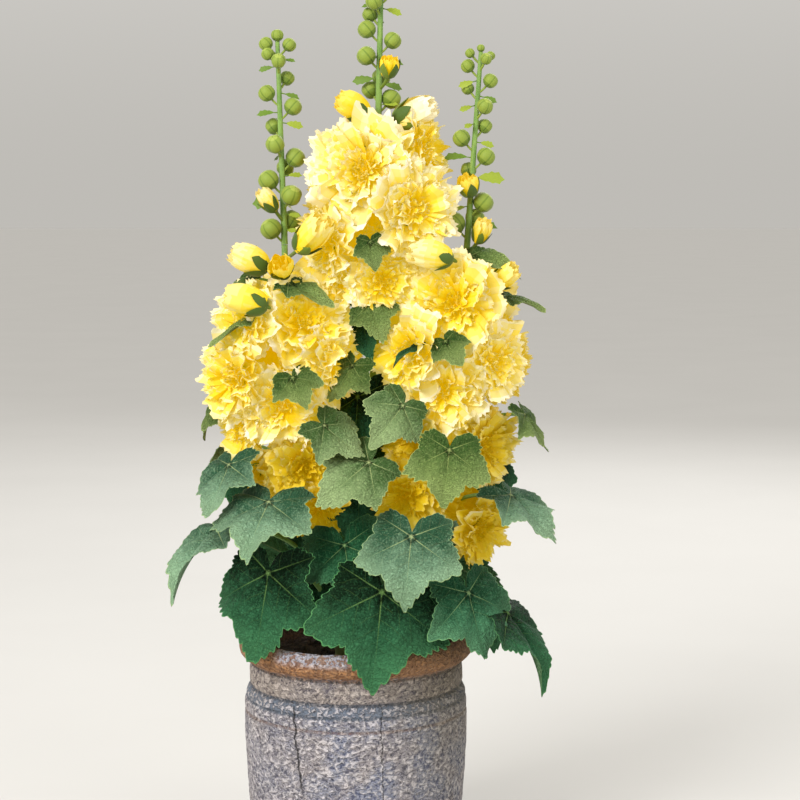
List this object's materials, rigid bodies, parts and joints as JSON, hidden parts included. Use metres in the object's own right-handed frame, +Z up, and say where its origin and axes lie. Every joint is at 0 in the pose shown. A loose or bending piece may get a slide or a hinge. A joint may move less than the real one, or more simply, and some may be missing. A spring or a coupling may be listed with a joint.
{
  "type": "potted hollyhock",
  "caption": "Tall hollyhock in flower in a round clay pot: stems with yellow double blooms, bud spikes above and broad lobed leaves below.",
  "frame": {"origin": "centre of the pot's flat underside", "axes": "+Z up along the pot's axis and the plant's height, +X to the viewer's right, +Y away from the viewer"},
  "size_m": [0.3778, 0.2849, 0.9477],
  "materials": {
    "clay": "rough unglazed grey clay, with an orange-brown rim",
    "potting_soil": "dark moist potting soil",
    "stem_green": "soft green stem with fine hairs",
    "leaf_dark": "dark green quilted leaf with pale veins",
    "leaf_grey_green": "grey-green quilted leaf with pale veins",
    "petal_pale": "lemon yellow petals with cream edges",
    "petal_gold": "golden yellow petals",
    "bud_green": "pale green downy bud"
  },
  "bodies": {
    "root": {"pot": "clay", "soil": "potting_soil", "stem_left": "stem_green", "stem_centre": "stem_green", "stem_right": "stem_green", "leaf_low_front_left": "leaf_dark", "leaf_low_front": "leaf_dark", "leaf_low_front_middle": "leaf_grey_green", "leaf_front_silver": "leaf_grey_green", "leaf_low_front_right": "leaf_dark", "leaf_front_left": "leaf_grey_green", "leaf_left_high": "leaf_grey_green", "leaf_left_low": "leaf_grey_green", "leaf_front_middle": "leaf_grey_green", "leaf_front_right": "leaf_grey_green", "leaf_high_front_left": "leaf_grey_green", "leaf_high_front": "leaf_grey_green", "leaf_right_middle": "leaf_grey_green", "leaf_right_low": "leaf_dark", "leaf_right_high": "leaf_grey_green", "leaf_low_back_left": "leaf_dark", "leaf_low_back": "leaf_dark", "leaf_low_back_right": "leaf_dark", "leaf_back_left": "leaf_grey_green", "leaf_back_right": "leaf_grey_green", "leaf_back_middle": "leaf_grey_green", "leaf_back_side": "leaf_grey_green", "leaf_gap_low": "leaf_dark", "leaf_gap_deep": "leaf_dark", "leaf_gap_middle": "leaf_grey_green", "leaf_gap_inner": "leaf_dark", "leaf_gap_high": "leaf_grey_green", "buds_left": "bud_green", "buds_centre": "bud_green", "buds_right": "bud_green", "blooms_centre": "petal_pale", "blooms_left_upper": "petal_pale", "blooms_left_lower": "petal_gold", "blooms_right_upper": "petal_pale", "blooms_right_lower": "petal_gold"}
  },
  "joints": []
}
